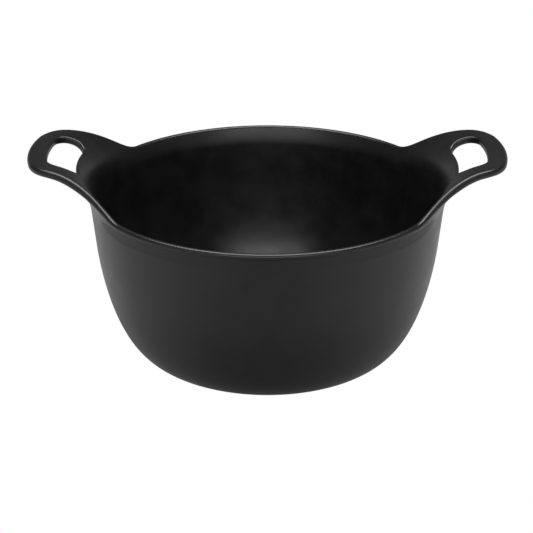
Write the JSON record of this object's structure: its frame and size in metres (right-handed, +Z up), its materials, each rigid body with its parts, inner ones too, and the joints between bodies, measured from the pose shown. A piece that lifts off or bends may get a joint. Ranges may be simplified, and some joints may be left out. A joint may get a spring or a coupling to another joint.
{
  "type": "cast iron dutch oven",
  "caption": "Open round cast iron pot with flared winged handles, each with a long hand hole.",
  "frame": {"origin": "centre of the base, on the surface the pot stands on", "axes": "+Z up out of the mouth, X through the two handles, -Y towards the front"},
  "size_m": [0.3174, 0.2412, 0.1416],
  "materials": {
    "iron": "satin black seasoned or enamelled surface, fine cast grain"
  },
  "bodies": {
    "root": {"bowl": "iron", "left_handle": "iron", "right_handle": "iron"}
  },
  "joints": []
}
